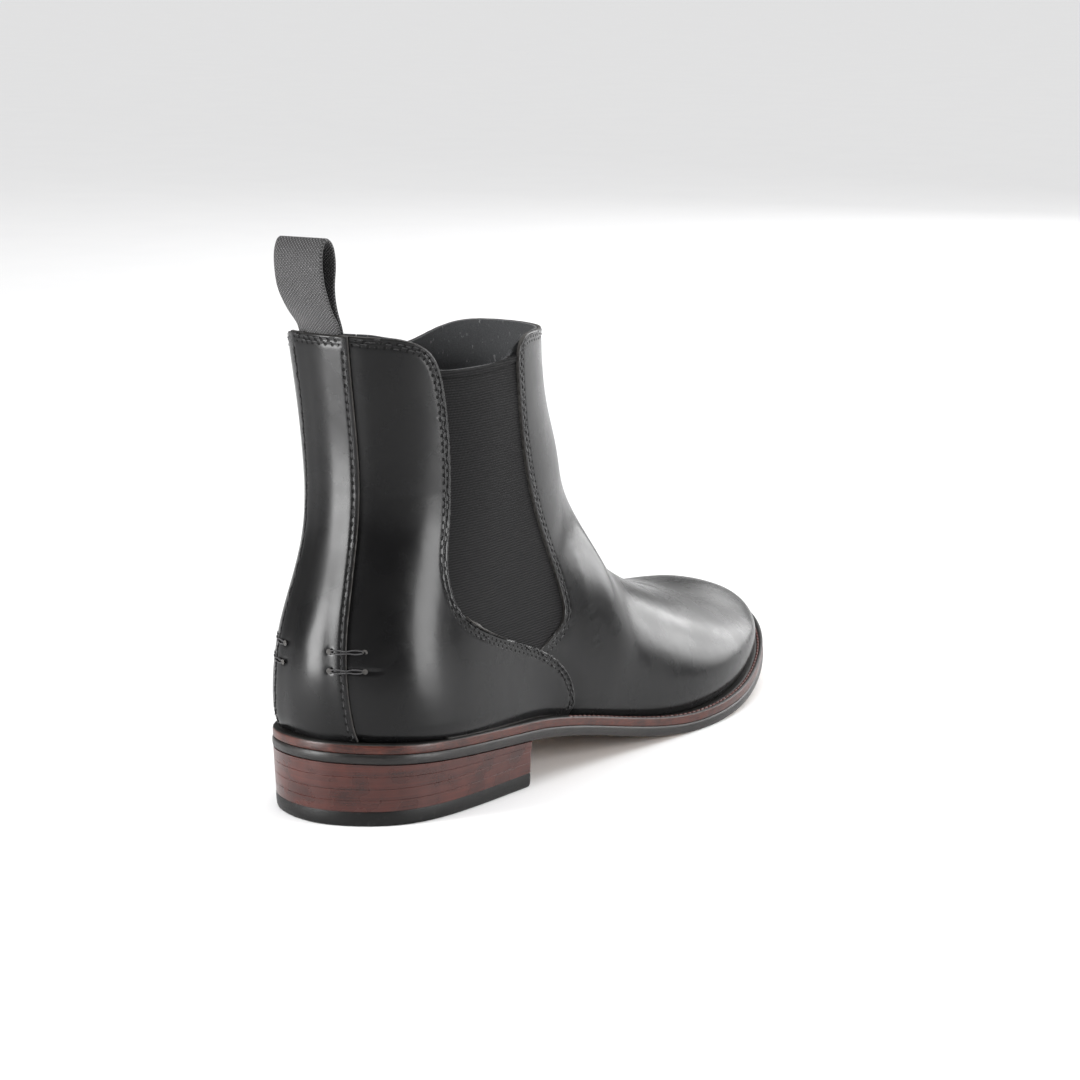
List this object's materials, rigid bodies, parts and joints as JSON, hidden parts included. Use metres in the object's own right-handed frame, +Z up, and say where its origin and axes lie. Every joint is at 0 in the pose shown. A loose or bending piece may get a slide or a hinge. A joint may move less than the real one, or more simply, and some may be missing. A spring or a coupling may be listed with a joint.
{
  "type": "chelsea boot",
  "caption": "Ankle boot for the right foot with elastic side panels, a pull tab at the back, a welted sole and a stacked heel.",
  "frame": {"origin": "centre of the bounding box in plan, at the ground under the heel and the tread", "axes": "+Y from the heel to the toe, +X to the outer side of the right foot, +Z up the shaft"},
  "size_m": [0.1064, 0.3004, 0.1975],
  "materials": {
    "black_leather": "polished black calf leather",
    "elastic": "matt charcoal elastic with fine ribs",
    "webbing": "charcoal twill webbing",
    "lining": "soft dark lining leather",
    "board": "stiff tan board",
    "thread": "waxed black thread",
    "rubber": "matt black rubber",
    "heel_leather": "burnished reddish brown stacked leather",
    "sole_leather": "black finished sole edge",
    "welt_leather": "reddish brown welt",
    "cork": "granular cork",
    "steel": "plain steel"
  },
  "bodies": {
    "boot": {"vamp": "black_leather", "quarter_right": "black_leather", "quarter_left": "black_leather", "back_panel": "black_leather", "gore_right": "elastic", "gore_left": "elastic", "pull_tab_anchor": "webbing", "vamp_lining": "lining", "quarter_lining_right": "lining", "quarter_lining_left": "lining", "heel_grip": "lining", "sock_liner": "lining", "heel_counter": "board", "toe_puff": "board", "insole_board": "board", "bar_stitch_right_upper": "thread", "bar_stitch_right_lower": "thread", "bar_stitch_left_upper": "thread", "bar_stitch_left_lower": "thread", "heel_top_piece": "rubber", "heel_lift_1": "heel_leather", "heel_lift_2": "heel_leather", "heel_lift_3": "heel_leather", "heel_lift_4": "heel_leather", "outsole": "sole_leather", "welt": "welt_leather", "cork_filler": "cork", "heel_seat_filler": "cork", "shank": "steel", "heel_nail_1": "steel", "heel_nail_2": "steel", "heel_nail_3": "steel", "heel_nail_4": "steel", "heel_nail_5": "steel"},
    "pull_tab": {"pull_tab": "webbing"}
  },
  "joints": [
    {"name": "pull_tab_swing", "type": "hinge", "parent": "boot", "child": "pull_tab", "pos_m": [-0.00406, -0.13819, 0.1662], "axis": [1, 0, 0], "range_deg": [-40, 60], "stiffness_Nm_per_rad": 0.004}
  ]
}
